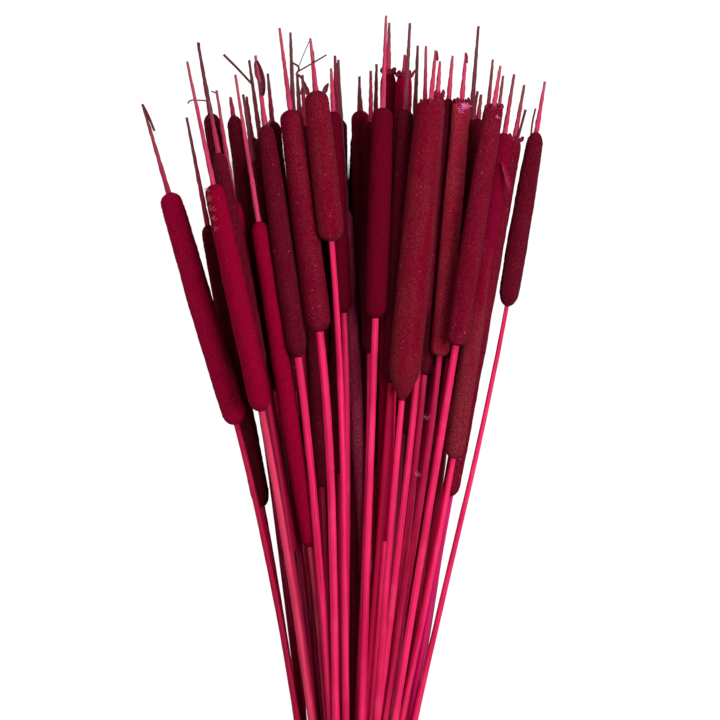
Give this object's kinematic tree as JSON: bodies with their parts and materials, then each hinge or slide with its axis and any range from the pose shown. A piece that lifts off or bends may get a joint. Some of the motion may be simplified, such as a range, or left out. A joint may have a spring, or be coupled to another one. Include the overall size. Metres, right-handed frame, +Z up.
{
  "type": "bunch of cattail stems",
  "caption": "Tied bunch of dried, dyed cattail stems with long velvety heads and bare spikes, lying flat and fanned out.",
  "frame": {"origin": "on the resting surface, under the middle of the bunch's box", "axes": "+Y along the bunch, towards the tips; +X across it, to the right seen from above with the tips away; +Z up"},
  "size_m": [0.3018, 0.7716, 0.127],
  "materials": {
    "cattail": "dyed plant matter: matt velvety burgundy heads, satin hot pink stems",
    "rubber_band": "plain natural rubber, slightly dusty"
  },
  "bodies": {
    "root": {"cattail_01": "cattail", "cattail_02": "cattail", "cattail_03": "cattail", "cattail_04": "cattail", "cattail_05": "cattail", "cattail_06": "cattail", "cattail_07": "cattail", "cattail_08": "cattail", "cattail_09": "cattail", "cattail_10": "cattail", "cattail_11": "cattail", "cattail_12": "cattail", "cattail_13": "cattail", "cattail_14": "cattail", "cattail_15": "cattail", "cattail_16": "cattail", "cattail_17": "cattail", "cattail_18": "cattail", "cattail_19": "cattail", "cattail_20": "cattail", "cattail_21": "cattail", "cattail_22": "cattail", "cattail_23": "cattail", "cattail_24": "cattail", "cattail_25": "cattail", "cattail_26": "cattail", "cattail_27": "cattail", "cattail_28": "cattail", "cattail_29": "cattail", "cattail_30": "cattail", "cattail_31": "cattail", "cattail_32": "cattail", "cattail_33": "cattail", "cattail_34": "cattail", "cattail_35": "cattail", "cattail_36": "cattail", "cattail_37": "cattail", "cattail_38": "cattail", "cattail_39": "cattail", "cattail_40": "cattail", "cattail_41": "cattail", "cattail_42": "cattail", "cattail_43": "cattail", "cattail_44": "cattail", "cattail_45": "cattail", "cattail_46": "cattail", "cattail_47": "cattail", "cattail_48": "cattail", "cattail_49": "cattail", "cattail_50": "cattail", "cattail_51": "cattail", "cattail_52": "cattail", "cattail_53": "cattail", "cattail_54": "cattail", "cattail_55": "cattail", "cattail_56": "cattail", "rubber_band": "rubber_band"}
  },
  "joints": []
}
